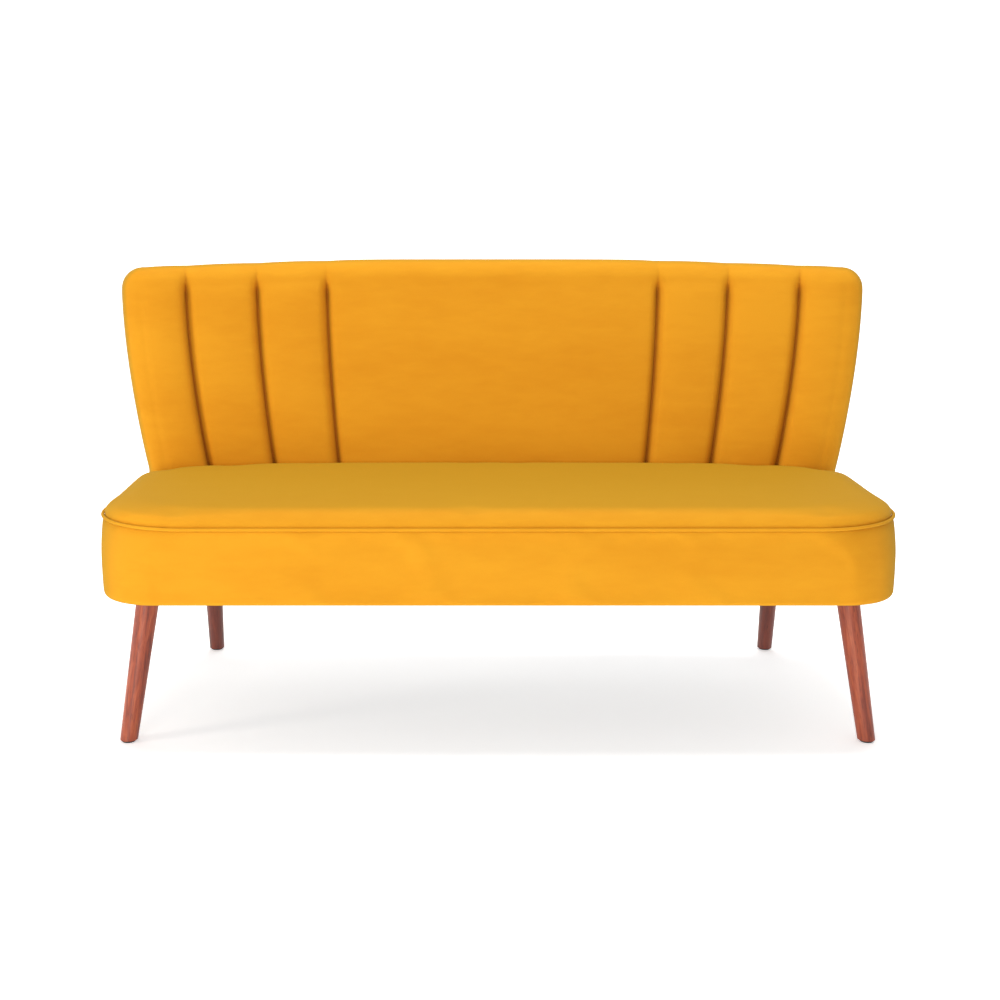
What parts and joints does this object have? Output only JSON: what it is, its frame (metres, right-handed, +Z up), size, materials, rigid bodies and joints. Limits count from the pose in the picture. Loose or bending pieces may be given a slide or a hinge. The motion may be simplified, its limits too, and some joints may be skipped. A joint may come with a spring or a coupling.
{
  "type": "loveseat",
  "caption": "armless upholstered loveseat with a channelled curved back, a piped crowned seat and splayed tapered round wooden legs",
  "frame": {"origin": "on the floor, at the bottom centre of the bounding box", "axes": "+X to the sitter's left along the seat, -Y out of the front, +Z up"},
  "size_m": [1.5248, 0.706, 0.82],
  "materials": {
    "velvet": "matte",
    "stained_beech": "satin",
    "frame_pine": "matte",
    "dowel_beech": "matte",
    "fibreboard": "matte",
    "foam": "matte",
    "felt": "matte",
    "black_non_woven": "matte",
    "spring_steel": "satin",
    "zinc_steel": "satin",
    "black_steel": "satin",
    "nylon": "matte"
  },
  "bodies": {
    "root": {"back_centre_batten": "frame_pine", "back_channel_centre": "velvet", "back_channel_left_inner": "velvet", "back_channel_left_middle": "velvet", "back_channel_left_outer": "velvet", "back_channel_right_inner": "velvet", "back_channel_right_middle": "velvet", "back_channel_right_outer": "velvet", "back_front_board": "fibreboard", "back_outside_cover": "velvet", "back_post_left_centre": "frame_pine", "back_post_left_end": "frame_pine", "back_post_left_inner": "frame_pine", "back_post_left_outer": "frame_pine", "back_post_right_centre": "frame_pine", "back_post_right_end": "frame_pine", "back_post_right_inner": "frame_pine", "back_post_right_outer": "frame_pine", "back_rear_board": "fibreboard", "back_top_former": "frame_pine", "back_top_roll": "velvet", "border_padding": "foam", "dust_cover": "black_non_woven", "frame_dowels": "dowel_beech", "front_left_block": "frame_pine", "front_right_block": "frame_pine", "glide_front_left": "nylon", "glide_front_right": "nylon", "glide_rear_left": "nylon", "glide_rear_right": "nylon", "insulator_felt": "felt", "leg_front_left": "stained_beech", "leg_front_right": "stained_beech", "leg_hanger_bolts": "zinc_steel", "leg_inserts": "zinc_steel", "leg_plate_front_left": "black_steel", "leg_plate_front_right": "black_steel", "leg_plate_rear_left": "black_steel", "leg_plate_rear_right": "black_steel", "leg_plate_screws": "zinc_steel", "leg_rear_left": "stained_beech", "leg_rear_right": "stained_beech", "post_dowels": "dowel_beech", "rear_left_block": "frame_pine", "rear_right_block": "frame_pine", "seat_border_cover": "velvet", "seat_cross_rail": "frame_pine", "seat_foam": "foam", "seat_front_rail": "frame_pine", "seat_left_rail": "frame_pine", "seat_piping": "velvet", "seat_rear_rail": "frame_pine", "seat_right_rail": "frame_pine", "seat_springs": "spring_steel", "seat_top_cover": "velvet", "spring_clips": "spring_steel", "wing_base_pad_left": "foam", "wing_base_pad_right": "foam"}
  },
  "joints": []
}
